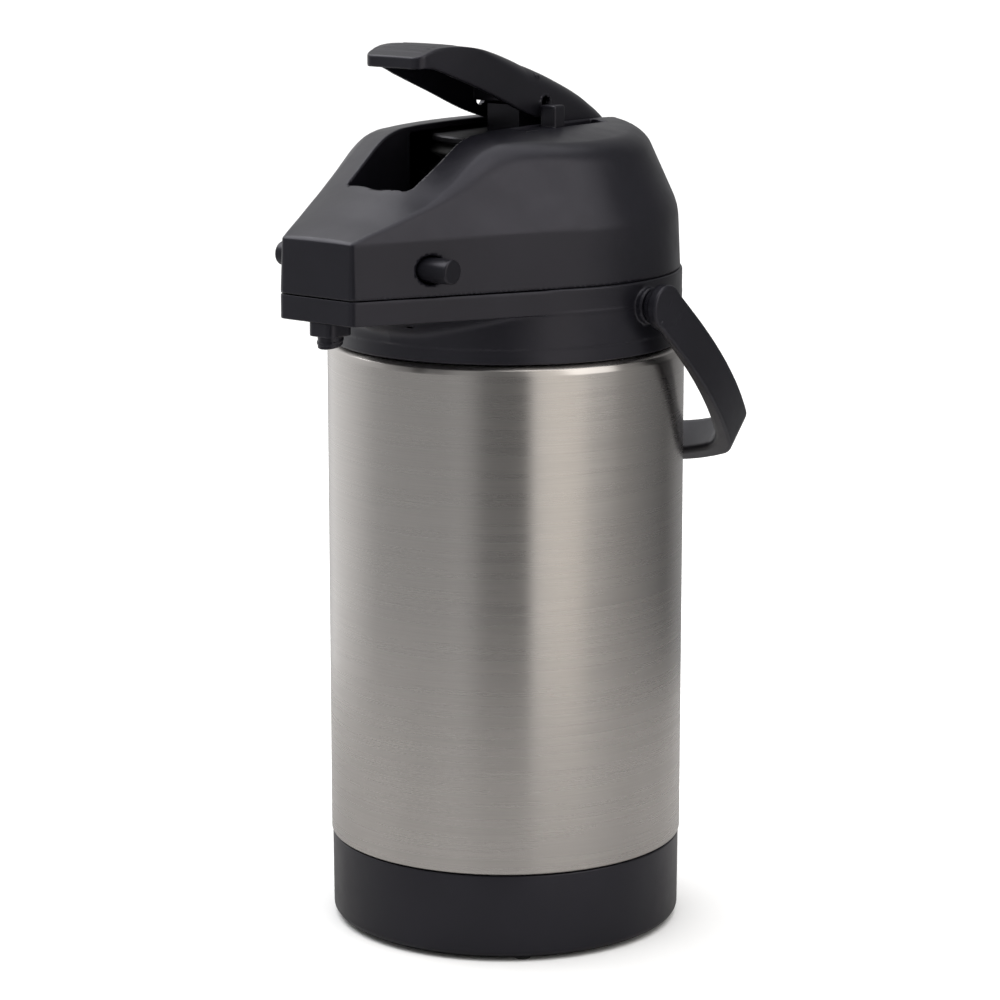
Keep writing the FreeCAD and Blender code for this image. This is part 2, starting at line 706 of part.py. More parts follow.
def coil_spring(radius, wire, low, high, turns):
    """A compression spring: a round wire wound on a helix about +Z."""
    pitch = (high - low) / turns
    helix = Part.makeHelix(pitch, high - low, radius)
    start = Vector(radius, 0, 0)
    along = Vector(0, 2 * math.pi * radius, pitch)
    circle = Part.Wire(Part.Circle(start, along, wire / 2).toShape())
    spring = Part.Wire(helix.Edges).makePipeShell([circle], True, True)
    spring.translate(Vector(0, 0, low))
    return spring


SPRING_WIRE = 1.8
SPRING_LOW = size("bellows_base_z") + 1.6
SPRING_HIGH = size("pusher_base_z") - 1.2
feature("return_spring", coil_spring(20.0, SPRING_WIRE, SPRING_LOW, SPRING_HIGH, 7))

turned("pusher_plate", [
    ("0", "pusher_base_z"), ("pusher_radius - 1", "pusher_base_z"), ("pusher_radius", "pusher_base_z + 1"),
    ("pusher_radius", "pusher_top_z - 0.8"), ("pusher_radius - 0.8", "pusher_top_z"), ("0", "pusher_top_z"),
])
pusher_top = size("pusher_top_z")
bracket_top = size("bracket_top_z")
BRACKET_HALF = 10.0
BRACKET_Y = (-2.0, 14.0)
bracket = box_between(-BRACKET_HALF, BRACKET_HALF, BRACKET_Y[0], BRACKET_Y[1], pusher_top, bracket_top)
bracket = bracket.cut(box_between(-BRACKET_HALF + 2, BRACKET_HALF - 2, BRACKET_Y[0] + 2, 20,
                                  pusher_top + 2, bracket_top - 2))
feature("pusher_bracket", bracket)

# ---------------------------------------------------------------- lever

lever_half = size("lever_half_width")
lever_wall = size("lever_wall")
GRIP_HALF = 17.0
LEVER_TOP = [(-85.5, 442.6), (-76.0, 445.4), (-60.0, 446.3), (-45.0, 444.4), (-31.0, 440.8),
             (-7.0, 433.7), (18.0, 425.0), (43.0, 414.0), (57.0, 405.4), (64.5, 397.6)]
LEVER_UNDER = [(60.0, 388.8), (53.0, 396.0), (30.0, 400.0), (10.0, 404.4), (-5.0, 408.8),
               (-39.0, 422.3), (-60.0, 430.3), (-78.0, 436.2), (-85.5, 436.4)]


def lever_block(half, inset):
    """The lever's side outline between its two flanks; the inset draws the top down."""
    top_points = [(y, z - inset * 1.08) for y, z in LEVER_TOP]
    under = LEVER_UNDER if not inset else [(y, z - 20) for y, z in LEVER_UNDER]
    top = curve_through(top_points, -half)
    first, last = top_points[0], top_points[-1]
    corners = [Vector(-half, last[0], last[1])]
    corners += [Vector(-half, y, z) for y, z in under]
    corners += [Vector(-half, first[0], first[1])]
    face = Part.Face(Part.Wire([top] + Part.makePolygon(corners).Edges))
    return face.extrude(Vector(2 * half, 0, 0))


lever_plan = [(-GRIP_HALF + 4, -86.5), (GRIP_HALF - 4, -86.5), (GRIP_HALF, -83.0), (lever_half, -45.0),
              (lever_half, 70.0), (-lever_half, 70.0), (-lever_half, -45.0), (-GRIP_HALF, -83.0)]
inner_plan = [(-GRIP_HALF + 5, -83.5), (GRIP_HALF - 5, -83.5), (GRIP_HALF - lever_wall, -80.5),
              (lever_half - lever_wall, -45.0), (lever_half - lever_wall, 80.0),
              (-lever_half + lever_wall, 80.0), (-lever_half + lever_wall, -45.0),
              (-GRIP_HALF + lever_wall, -80.5)]
lever_outer = lever_block(lever_half, 0).common(plan_prism(lever_plan, 370, 460))
lever_room = lever_block(lever_half, lever_wall).common(plan_prism(inner_plan, 360, 460))
lever_shape = lever_outer.cut(lever_room)
RIB_Y = 0.0
rib = box_between(-lever_half + 1, lever_half - 1, RIB_Y - 1.2, RIB_Y + 1.2,
                  bracket_top + FREE_GAP + 0.4, 434)
lever_shape = lever_shape.fuse(rib.common(lever_block(lever_half, 0)))
hub = rod_x(4.6, -lever_half, lever_half, pivot_y, pivot_z)
web = box_between(-lever_half, lever_half, pivot_y - 2, pivot_y + 2, pivot_z, pivot_z + 9)
lever_shape = lever_shape.fuse(hub).fuse(web.common(lever_block(lever_half, 0)))
lever_shape = lever_shape.cut(rod_x(lever_pin_radius + RUNNING_GAP, -40, 40, pivot_y, pivot_z))
HOLE = (4.0, 414.6)
HOLE_RADIUS = 3.3
eye = rod_x(HOLE_RADIUS + 1.4, lever_half - 1, lever_half + 0.6, HOLE[0], HOLE[1])
lever_shape = lever_shape.fuse(eye).fuse(mirrored(eye))
lever_shape = lever_shape.cut(rod_x(HOLE_RADIUS, -40, 40, HOLE[0], HOLE[1]))
feature("pump_lever", lever_shape.removeSplitter())

# ---------------------------------------------------------------- lock tab and release buttons

TAB_Y = (-3.5, 5.0)
UNDER_ROOF = lid_top_z - lid_wall - 0.4
tab = box_between(tab_inner_x, tab_outer_x, TAB_Y[0], TAB_Y[1], UNDER_ROOF - 1.8, size("tab_top_z"))
tab = tab.makeFillet(1.2, [e for e in tab.Edges if e.BoundBox.ZMin > lid_top_z + 5])
slide_plate = box_between(tab_inner_x - 1.4, tab_outer_x + 1.4, SLOT_Y[0] - 1.5, TAB_Y[1] + 2,
                          UNDER_ROOF - 1.8, UNDER_ROOF)
pad = box_between(tab_inner_x, tab_outer_x, SLOT_Y[0] + 0.8, TAB_Y[0], UNDER_ROOF - 1, lid_top_z - 1.0)
feature("lock_tab", tab.fuse(slide_plate).fuse(pad).removeSplitter())

button_inner = size("button_inner_x")
button_outer = size("button_outer_x")
button = rod_x(button_radius, button_inner, button_outer, button_y, button_z)
button = button.makeFillet(1.0, [e for e in button.Edges if abs(e.BoundBox.XMin - button_outer) < 0.01
                                 and e.BoundBox.XLength < 0.01])
button = button.cut(rod_x(4.4, button_inner - 1, button_inner + 14, button_y, button_z))
stem = box_between(button_inner, button_inner + 3, button_y - 3, button_y + 3, 326.0, button_z - 4.6)
toe = box_between(button_inner, 35.6, button_y - 3, button_y + 3, 326.0, CATCH_Z[0] - 0.6)
release_button = button.fuse(stem).fuse(toe).removeSplitter()
feature("release_button_right", release_button)
feature("release_button_left", mirrored(release_button))

button_spring = coil_spring(3.1, 1.2, 0, 26.0, 6)
button_spring.rotate(Vector(0, 0, 0), Vector(0, 1, 0), 90)
button_spring.translate(Vector(9.0, button_y, button_z))
feature("release_springs", Part.Compound([button_spring, mirrored(button_spring)]))
stop = box_between(-8.4, 8.4, button_y - 6, button_y + 6, lid_base_z + 3.6, button_z + 6)
stop_room = box_between(-6.6, 6.6, button_y - 8, button_y + 8, lid_base_z + 5, button_z + 4)
feature("spring_stop", stop.cut(stop_room))

# ---------------------------------------------------------------- carry handle

arm_inner = size("arm_inner_x")
arm_outer = size("arm_outer_x")
handle_reach = size("handle_reach")
handle_width = size("handle_width")
BAR_THICK = 8.0
OUTER_CORNER = (82.6, 116.2)
INNER_CORNER = (75.5, 109.5)


def handle_edge(root_x, straight, corner, crown):
    """One edge of the bent strap, seen square on: out along an arm, over the bar, and back."""
    corner_x, corner_out = corner
    middle_x = root_x - (root_x - corner_x) / 4
    middle_out = (straight + corner_out) / 2
    edges = []
    for side in (1, -1):
        foot = Vector(side * root_x, 0, 0)
        start = Vector(side * root_x, 0, straight)
        middle = Vector(side * middle_x, 0, middle_out)
        end = Vector(side * corner_x, 0, corner_out)
        edges.append(Part.LineSegment(foot, start).toShape())
        edges.append(Part.Arc(start, middle, end).toShape())
    left = Vector(-corner_x, 0, corner_out)
    right = Vector(corner_x, 0, corner_out)
    edges.append(Part.Arc(left, Vector(0, 0, crown), right).toShape())
    return edges


def round_corners(solid, corner, radius):
    """Rounds the two edges that run through a corner of the strap, across its width."""
    chosen = []
    for edge in solid.Edges:
        place = edge.CenterOfMass
        off = math.hypot(abs(place.x) - corner[0], place.z - corner[1])
        if off < 0.01:
            chosen.append(edge)
    return solid.makeFillet(radius, chosen)


outer_edges = handle_edge(arm_outer, 20, OUTER_CORNER, handle_reach + BAR_THICK / 2)
inner_edges = handle_edge(arm_inner, 12, INNER_CORNER, handle_reach - BAR_THICK / 2)
caps = [
    Part.LineSegment(Vector(-arm_outer, 0, 0), Vector(-arm_inner, 0, 0)).toShape(),
    Part.LineSegment(Vector(arm_inner, 0, 0), Vector(arm_outer, 0, 0)).toShape(),
]
band_wire = Part.Wire(Part.__sortEdges__(outer_edges + inner_edges + caps))
band = Part.Face(band_wire).extrude(Vector(0, handle_width, 0))
band.translate(Vector(0, -handle_width / 2, 0))
band = round_corners(band, OUTER_CORNER, 5.0)
band = round_corners(band, INNER_CORNER, 6.0)
eye_radius = handle_width / 2 + 0.5
for x0 in (arm_inner, -arm_outer):
    band = band.fuse(rod_x(eye_radius, x0, x0 + arm_outer - arm_inner, 0, 0))
hub_stub = rod_x(8.0, 91.3, arm_inner, 0, 0)
band = band.fuse(hub_stub).fuse(mirrored(hub_stub))
band = band.cut(rod_x(handle_pin_radius + RUNNING_GAP, 80, arm_outer - 1.2, 0, 0))
band = band.cut(rod_x(handle_pin_radius + RUNNING_GAP, -arm_outer + 1.2, -80, 0, 0))
band = band.removeSplitter()
# drawn upright; it hangs back and down from its pivots
band.rotate(Vector(0, 0, 0), Vector(1, 0, 0), -(90 + size("handle_hang_deg")))
band.translate(Vector(0, 0, handle_pivot_z))
feature("carry_handle", band)

# ---------------------------------------------------------------- check and write

doc.recompute()
for obj in doc.Objects:
    if "Invalid" in obj.State or "Error" in obj.State:
        raise RuntimeError("failed feature: " + obj.Label)
for obj in NODES:
    if obj.Shape.isNull() or not obj.Shape.isValid():
        raise RuntimeError("bad shape: " + obj.Label)
os.makedirs("parts", exist_ok=True)
for obj in NODES:
    obj.Shape.exportStep("parts/" + obj.Label + ".step")
    print("%-22s %10.0f mm3  %d solid(s)" % (obj.Label, obj.Shape.Volume, len(obj.Shape.Solids)))
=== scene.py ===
"""Looks for the lever pump pot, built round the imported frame.

The moulded parts are signed distance fields in millimetres (negative inside), because their
walls meet in soft, changing radii. Each field is meshed here and placed in the frame's metres.
"""

import json
import math

import bpy
import numpy as np
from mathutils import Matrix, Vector


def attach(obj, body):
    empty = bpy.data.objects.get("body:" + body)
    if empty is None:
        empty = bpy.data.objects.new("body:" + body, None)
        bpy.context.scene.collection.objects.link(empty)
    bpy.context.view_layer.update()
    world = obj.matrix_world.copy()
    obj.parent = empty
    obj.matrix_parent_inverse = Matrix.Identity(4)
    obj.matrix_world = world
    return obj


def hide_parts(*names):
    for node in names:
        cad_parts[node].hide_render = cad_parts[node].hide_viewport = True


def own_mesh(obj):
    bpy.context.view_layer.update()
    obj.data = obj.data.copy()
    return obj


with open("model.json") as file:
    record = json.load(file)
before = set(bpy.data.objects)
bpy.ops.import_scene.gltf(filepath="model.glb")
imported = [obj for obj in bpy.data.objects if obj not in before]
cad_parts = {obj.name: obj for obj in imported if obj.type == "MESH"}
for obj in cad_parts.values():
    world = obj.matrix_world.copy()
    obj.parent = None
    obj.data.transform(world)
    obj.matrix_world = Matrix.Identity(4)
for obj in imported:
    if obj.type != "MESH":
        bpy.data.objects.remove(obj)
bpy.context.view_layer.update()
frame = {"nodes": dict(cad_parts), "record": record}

MM = 0.001


# ---------------------------------------------------------------- field tools

def both(a, b, r):
    """Where two solids overlap, with the edge between them rounded to radius r."""
    return np.minimum(np.maximum(a, b), -r) + np.hypot(np.maximum(a + r, 0), np.maximum(b + r, 0))


def either(a, b, r):
    """Two solids joined, with a fillet of radius r between them."""
    return np.maximum(np.minimum(a, b), r) - np.hypot(np.maximum(r - a, 0), np.maximum(r - b, 0))


def less(a, b, r):
    """The first solid without the second, with the new edge rounded."""
    return both(a, -b, r)


def shallow(a, b, k):
    """Where two solids overlap whose faces meet at a shallow angle, blended over k."""
    near = np.maximum(k - np.abs(a - b), 0)
    return np.maximum(a, b) + near * near / (4 * k)


def ramp(v, start, end):
    """0 before start, 1 after end, smooth between."""
    t = np.clip((v - start) / (end - start), 0, 1)
    return t * t * (3 - 2 * t)


def curve(points):
    """A smooth function through (input, output) points, straight beyond its ends."""
    xs = np.array([p[0] for p in points], float)
    ys = np.array([p[1] for p in points], float)
    slope = np.gradient(ys, xs)

    def value(v):
        i = np.clip(np.searchsorted(xs, v) - 1, 0, len(xs) - 2)
        width = xs[i + 1] - xs[i]
        t = np.clip((v - xs[i]) / width, 0, 1)
        h1 = t * t * (3 - 2 * t)
        inside = (ys[i] * (1 - h1) + ys[i + 1] * h1
                  + width * slope[i] * t * (1 - t) ** 2 - width * slope[i + 1] * t * t * (1 - t))
        before = np.minimum(v - xs[0], 0) * slope[0]
        after = np.maximum(v - xs[-1], 0) * slope[-1]
        return inside + before + after

    return value


def block(x, y, z, x0, x1, y0, y1, z0, z1, r):
    """A box between six planes, its edges rounded to radius r."""
    qx = np.abs(x - (x0 + x1) / 2) - (x1 - x0) / 2 + r
    qy = np.abs(y - (y0 + y1) / 2) - (y1 - y0) / 2 + r
    qz = np.abs(z - (z0 + z1) / 2) - (z1 - z0) / 2 + r
    outside = np.sqrt(np.maximum(qx, 0) ** 2 + np.maximum(qy, 0) ** 2 + np.maximum(qz, 0) ** 2)
    return outside + np.minimum(np.maximum(np.maximum(qx, qy), qz), 0) - r


def rod_x(x, y, z, radius, x0, x1, cy, cz, r):
    """A cylinder along X with rounded ends."""
    return both(np.hypot(y - cy, z - cz) - radius, np.abs(x - (x0 + x1) / 2) - (x1 - x0) / 2, r)


def outline(x, y, radius, reach, half, corner):
    """Plan distance from a round body with a beak: a circle, and its tangents to a blunt front."""
    side = np.abs(x)
    bearing = np.arctan2(-reach, half) + np.arccos(np.minimum(radius / np.hypot(half, reach), 1))
    nx, ny = np.cos(bearing), np.sin(bearing)
    tx, ty = radius * nx, radius * ny
    length = np.hypot(half - tx, -reach - ty)
    along = ((side - tx) * (half - tx) + (y - ty) * (-reach - ty)) / length
    beak = both(nx * side + ny * y - radius, -y - reach, corner)
    return np.where(along > 0, beak, np.hypot(x, y) - radius)


# ---------------------------------------------------------------- meshing

FINE = 4            # cells along one side of a coarse block
NEAR = 1.3          # blocks whose centre is farther than this many block sides are skipped
GIVE = 0.04         # how firmly a vertex is held to the middle of its cell's crossings
FLAT = 0.03         # cells whose normals spread more than this hold an edge and stay put
EASE_TURNS = 3      # passes that even out the vertices of smooth areas
EASE = 0.7          # how far each pass moves them


def gradient(field, p, eps):
    """The field's slope at each point, from differences over eps."""
    g = np.empty_like(p)
    for axis in range(3):
        step = np.zeros(3)
        step[axis] = eps
        g[:, axis] = field(*(p + step).T) - field(*(p - step).T)
    return g / (2 * eps)


def net(field, low, high, cell):
    """Vertices, quads and normals of a field's surface: one vertex in each cell it crosses."""
    margin = 1.3 * cell
    low = np.array(low, float) - margin
    high = np.array(high, float) + margin
    big = cell * FINE
    count = np.ceil((high - low) / big).astype(int)
    grid = np.stack(np.meshgrid(*[np.arange(n) for n in count], indexing="ij"), -1).reshape(-1, 3)
    centre = low + (grid + 0.5) * big
    grid = grid[np.abs(field(*centre.T)) < big * NEAR]
    corner = np.stack(np.meshgrid(*[np.arange(FINE + 1)] * 3, indexing="ij"), -1).reshape(-1, 3)
    index = grid[:, None, :] * FINE + corner[None]
    value = field(*(low + index.reshape(-1, 3) * cell).T)
    value = value.reshape(len(grid), FINE + 1, FINE + 1, FINE + 1)
    inside = value < 0
    total = sum(
        inside[:, i:i + FINE, j:j + FINE, k:k + FINE].astype(int)
        for i in (0, 1) for j in (0, 1) for k in (0, 1))
    b, i, j, k = np.nonzero((total > 0) & (total < 8))
    cells = grid[b] * FINE + np.stack([i, j, k], -1)
    at = {(u, v, w): value[b, i + u, j + v, k + w] for u in (0, 1) for v in (0, 1) for w in (0, 1)}
    # each vertex starts where the planes at its cell's edge crossings meet best
    summed = np.zeros((len(b), 3))
    facing = np.zeros((len(b), 3))
    hits = np.zeros(len(b))
    crossings = []
    for start in at:
        for axis in range(3):
            if start[axis]:
                continue
            end = list(start)
            end[axis] = 1
            va, vb = at[start], at[tuple(end)]
            cross = np.nonzero((va < 0) != (vb < 0))[0]
            point = np.repeat(np.array(start, float)[None], len(cross), 0)
            point[:, axis] = va[cross] / (va[cross] - vb[cross])
            normal = gradient(field, low + (cells[cross] + point) * cell, cell * 0.03)
            normal /= np.maximum(np.linalg.norm(normal, axis=1), 1e-9)[:, None]
            crossings.append((cross, point, normal))
            np.add.at(summed, cross, point)
            np.add.at(facing, cross, normal)
            np.add.at(hits, cross, 1)
    mean = summed / hits[:, None]
    bent = 1 - np.linalg.norm(facing / hits[:, None], axis=1)
    matrix = np.repeat(np.eye(3)[None] * GIVE, len(b), 0)
    vector = np.zeros((len(b), 3))
    for cross, point, normal in crossings:
        reach = (normal * (point - mean[cross])).sum(1)
        np.add.at(matrix, cross, normal[:, :, None] * normal[:, None, :])
        np.add.at(vector, cross, normal * reach[:, None])
    moved = np.linalg.solve(matrix, vector[:, :, None])[:, :, 0]
    verts = low + (cells + np.clip(mean + moved, -0.1, 1.1)) * cell

    span = count * FINE + 2
    key = (cells[:, 0] * span[1] + cells[:, 1]) * span[2] + cells[:, 2]
    order = np.argsort(key)
    sorted_key = key[order]
    stride = np.array([span[1] * span[2], span[2], 1])
    quads = []
    for axis in range(3):
        e1, e2 = stride[(axis + 1) % 3], stride[(axis + 2) % 3]
        end = [0, 0, 0]
        end[axis] = 1
        a_in, b_in = at[(0, 0, 0)] < 0, at[tuple(end)] < 0
        use = a_in != b_in
        around = np.stack([key[use], key[use] - e1, key[use] - e1 - e2, key[use] - e2], -1)
        place = np.minimum(np.searchsorted(sorted_key, around), len(key) - 1)
        good = (sorted_key[place] == around).all(1)
        face = order[place][good]
        flip = a_in[use][good]
        quads.append(np.where(flip[:, None], face, face[:, ::-1]))
    quads = np.concatenate(quads)

    # smooth areas are evened out, and everything is put back on the surface
    soft = np.clip(1 - bent / FLAT, 0, 1)[:, None]
    for turn in range(EASE_TURNS + 1):
        if turn < EASE_TURNS:
            around = np.zeros_like(verts)
            links = np.zeros(len(verts))
            for m in range(4):
                a, c = quads[:, m], quads[:, (m + 1) % 4]
                for axis in range(3):
                    around[:, axis] += np.bincount(a, verts[c, axis], len(verts))
                    around[:, axis] += np.bincount(c, verts[a, axis], len(verts))
                links += np.bincount(a, minlength=len(verts)) + np.bincount(c, minlength=len(verts))
            middle = around / np.maximum(links, 1)[:, None]
            verts = verts + EASE * soft * (middle - verts)
        g = gradient(field, verts, cell * 0.03)
        d = field(*verts.T)
        move = g * (d / np.maximum((g * g).sum(1), 0.25))[:, None]
        verts = verts - np.clip(move, -0.5 * cell, 0.5 * cell)
    g = gradient(field, verts, cell * 0.06)
    normals = g / np.maximum(np.linalg.norm(g, axis=1), 1e-9)[:, None]
    return verts, quads, normals


def make_object(name, mesh, body, slot, *nodes):
    """A finished piece: it rides on a body, takes a slot's finish and stands for CAD nodes."""
    obj = bpy.data.objects.new(name, mesh)
    bpy.context.scene.collection.objects.link(obj)
    mesh.materials.append(MATERIALS[slot])
    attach(obj, body)
    if nodes:
        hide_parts(*nodes)
    return obj


def field_piece(name, field, low, high, cell, body, slot, *nodes):
    """A moulding: a field meshed between two corners, with the field's own normals."""
    verts, quads, normals = net(field, low, high, cell)
    mesh = bpy.data.meshes.new(name)
    mesh.vertices.add(len(verts))
    mesh.vertices.foreach_set("co", (verts * MM).astype(np.float32).ravel())
    mesh.loops.add(quads.size)
    mesh.loops.foreach_set("vertex_index", quads.astype(np.int32).ravel())
    mesh.polygons.add(len(quads))
    mesh.polygons.foreach_set("loop_start", np.arange(0, quads.size, 4, dtype=np.int32))
    mesh.update(calc_edges=True)
    mesh.validate()
    mesh.polygons.foreach_set("use_smooth", np.ones(len(mesh.polygons), bool))
    mesh.normals_split_custom_set_from_vertices(normals.astype(np.float32))
    return make_object(name, mesh, body, slot, *nodes)


def arc_corner(before, corner, after, radius, steps):
    """Points that round one corner of a profile."""
    c = Vector(corner)
    to_a = (Vector(before) - c).normalized()
    to_b = (Vector(after) - c).normalized()
    angle = to_a.angle(to_b)
    reach = radius / math.tan(angle / 2)
    centre = c + (to_a + to_b).normalized() * (radius / math.sin(angle / 2))
    start = c + to_a * reach - centre
    end = c + to_b * reach - centre
    turn = start.angle_signed(end)
    points = []
    for i in range(steps + 1):
        s = math.sin(turn * i / steps)
        w = math.cos(turn * i / steps)
        points.append((centre.x + start.x * w + start.y * s, centre.y - start.x * s + start.y * w))
    return points


ROUNDING_STEPS = 6


def lathe_piece(name, profile, segments, body, slot, *nodes):
    """A closed (radius, height, rounding) profile turned about Z."""
    line = []
    for i, (r, z, rounding) in enumerate(profile):
        before, after = profile[i - 1][:2], profile[(i + 1) % len(profile)][:2]
        if rounding:
            line += arc_corner(before, (r, z), after, rounding, ROUNDING_STEPS)
        else:
            line.append((r, z))
    turn = np.arange(segments) * 2 * math.pi / segments
    verts = [(r * MM * math.cos(a), r * MM * math.sin(a), z * MM) for a in turn for r, z in line]
    n = len(line)
    faces = []
    for i in range(segments):
        j = (i + 1) % segments
        for k in range(n):
            m = (k + 1) % n
            faces.append((i * n + k, j * n + k, j * n + m, i * n + m))
    mesh = bpy.data.meshes.new(name)
    mesh.from_pydata(verts, [], faces)
    mesh.update()
    mesh.shade_smooth()
    mesh.set_sharp_from_angle(angle=math.radians(28))
    return make_object(name, mesh, body, slot, *nodes)


# ---------------------------------------------------------------- materials

class Nodes:
    """Short names for building one node tree."""

    def __init__(self, name):
        self.material = bpy.data.materials.new(name)
        self.material.use_nodes = True
        self.tree = self.material.node_tree
        self.shader = self.tree.nodes["Principled BSDF"]
        self.place = self.add("ShaderNodeTexCoord").outputs["Object"]

    def add(self, kind, **values):
        made = self.tree.nodes.new(kind)
        for key, value in values.items():
            if key in made.inputs:
                made.inputs[key].default_value = value
            else:
                setattr(made, key, value)
        return made

    def link(self, source, target):
        self.tree.links.new(source, target)

    def noise(self, stretch, detail=3.0, roughness=0.5):
        """Noise over the object, with a scale in cycles per metre along each axis."""
        scaled = self.add("ShaderNodeMapping")
        scaled.inputs["Scale"].default_value = stretch
        self.link(self.place, scaled.inputs["Vector"])
        made = self.add("ShaderNodeTexNoise", Scale=1.0, Detail=detail, Roughness=roughness)
        self.link(scaled.outputs["Vector"], made.inputs["Vector"])
        return made.outputs["Fac"]

    def ramp(self, source, low, high, target, start=0.35, end=0.65):
        """Turns a 0-1 signal into a range of values or colours."""
        made = self.add("ShaderNodeValToRGB")
        stops = made.color_ramp.elements
        stops[0].position, stops[1].position = start, end
        stops[0].color = tuple(low) + (1,) if isinstance(low, tuple) else (low, low, low, 1)
        stops[1].color = tuple(high) + (1,) if isinstance(high, tuple) else (high, high, high, 1)
        self.link(source, made.inputs["Fac"])
        self.link(made.outputs["Color"], target)

    def bump(self, height, strength, distance, below=None):
        made = self.add("ShaderNodeBump", Strength=strength, Distance=distance)
        self.link(height, made.inputs["Height"])
        if below is not None:
            self.link(below, made.inputs["Normal"])
        return made.outputs["Normal"]


def plastic(name, dark, light, rough_low, rough_high, grain=0.00004):
    """Satin moulded plastic: an even tone, a fine spark texture and faint handling marks."""
    n = Nodes(name)
    n.ramp(n.noise((22, 22, 22), 4), dark, light, n.shader.inputs["Base Color"])
    n.ramp(n.noise((60, 60, 60), 6, 0.6), rough_low, rough_high, n.shader.inputs["Roughness"])
    coarse = n.bump(n.noise((1400, 1400, 1400), 2), 0.10, grain * 2)
    n.link(n.bump(n.noise((3200, 3200, 3200), 2), 0.16, grain, coarse), n.shader.inputs["Normal"])
    n.shader.inputs["IOR"].default_value = 1.49
    n.shader.inputs["Specular Tint"].default_value = (0.90, 0.88, 1.0, 1.0)
    return n.material


def brushed(name, dark, light, rough_low, rough_high, anisotropy):
    """Stainless steel brushed round its axis: streaks that run round, a few stray longer marks."""
    n = Nodes(name)
    fine = n.noise((16, 16, 2600), 4, 0.65)
    broad = n.noise((5, 5, 240), 3, 0.6)
    n.ramp(fine, dark, light, n.shader.inputs["Base Color"], 0.25, 0.75)
    n.ramp(broad, rough_low, rough_high, n.shader.inputs["Roughness"], 0.3, 0.7)
    n.link(n.bump(fine, 0.05, 0.00004), n.shader.inputs["Normal"])
    n.shader.inputs["Metallic"].default_value = 1.0
    n.shader.inputs["Anisotropic"].default_value = anisotropy
    n.shader.inputs["Anisotropic Rotation"].default_value = 0.25
    tangent = n.add("ShaderNodeTangent", direction_type="RADIAL", axis="Z")
    n.link(tangent.outputs["Tangent"], n.shader.inputs["Tangent"])
    return n.material


def metal(name, dark, light, roughness):
    """Drawn or plated wire and pins, with faint draw marks."""
    n = Nodes(name)
    mark = n.noise((900, 900, 900), 3)
    n.ramp(mark, dark, light, n.shader.inputs["Base Color"])
    n.ramp(mark, roughness * 0.8, roughness * 1.25, n.shader.inputs["Roughness"])
    n.shader.inputs["Metallic"].default_value = 1.0
    return n.material


def elastic(name, dark, light, roughness, through):
    """Rubber or silicone: matt, slightly uneven, and a little translucent when pale."""
    n = Nodes(name)
    n.ramp(n.noise((70, 70, 70), 4), dark, light, n.shader.inputs["Base Color"])
    n.ramp(n.noise((300, 300, 300), 3), roughness * 0.85, roughness, n.shader.inputs["Roughness"])
    n.link(n.bump(n.noise((1800, 1800, 1800), 2), 0.15, 0.00005), n.shader.inputs["Normal"])
    n.shader.inputs["Subsurface Weight"].default_value = through
    n.shader.inputs["Subsurface Scale"].default_value = 0.002
    return n.material


MATERIALS = {
    "brushed_steel": brushed(
        "brushed_steel", (0.56, 0.535, 0.515), (0.64, 0.61, 0.585), 0.25, 0.30, 0.75),
    "inner_steel": brushed(
        "inner_steel", (0.50, 0.50, 0.49), (0.62, 0.62, 0.61), 0.22, 0.30, 0.5),
    "black_plastic": plastic(
        "black_plastic", (0.0050, 0.0049, 0.0070), (0.0070, 0.0068, 0.0096), 0.29, 0.37),
    "lever_plastic": plastic(
        "lever_plastic", (0.0046, 0.0045, 0.0064), (0.0066, 0.0064, 0.0088), 0.28, 0.36),
    "inner_plastic": plastic(
        "inner_plastic", (0.009, 0.009, 0.010), (0.013, 0.013, 0.014), 0.42, 0.55),
    "clear_plastic": plastic(
        "clear_plastic", (0.60, 0.62, 0.61), (0.70, 0.72, 0.71), 0.18, 0.28),
    "rubber": elastic("rubber", (0.010, 0.010, 0.010), (0.018, 0.018, 0.018), 0.8, 0.0),
    "silicone": elastic("silicone", (0.60, 0.60, 0.58), (0.70, 0.70, 0.68), 0.55, 0.25),
    "bright_steel": metal("bright_steel", (0.60, 0.60, 0.60), (0.72, 0.72, 0.72), 0.22),
    "spring_steel": metal("spring_steel", (0.42, 0.42, 0.43), (0.55, 0.55, 0.56), 0.3),
}
for part in frame["record"]["subparts"]:
    node = frame["nodes"][part["node"]]
    node.data.materials.clear()
    node.data.materials.append(MATERIALS[part["material_slot"]])

# ---------------------------------------------------------------- shell and base

lathe_piece("steel_shell", [
    (87.4, 44.5, 0.4), (89.0, 45.4, 0.9), (89.0, 292.2, 2.4), (88.0, 295.0, 1.5),
    (85.4, 296.6, 1.0), (81.0, 297.2, 0), (50.0, 299.0, 0), (50.0, 298.2, 0),
    (81.0, 296.4, 0), (84.9, 295.6, 0), (87.2, 294.3, 0), (88.2, 292.0, 0),
    (88.2, 46.3, 0), (87.1, 45.3, 0), (80.0, 45.3, 0), (80.0, 44.5, 0),
], 288, "pot", "brushed_steel", "outer_shell")

lathe_piece("base_shell", [
    (0.01, 6.2, 0), (72.4, 6.2, 0.6), (75.4, 1.2, 0.8), (83.8, 1.2, 3.0),
    (88.1, 3.6, 3.5), (88.4, 44.2, 0.7), (79.0, 44.2, 0), (79.0, 41.8, 0),
    (86.0, 41.8, 0), (86.0, 6.2, 0), (84.0, 3.8, 0), (76.8, 3.8, 0),
    (73.8, 8.6, 0), (0.01, 8.6, 0),
], 240, "pot", "black_plastic", "base_cover")

# ---------------------------------------------------------------- collar

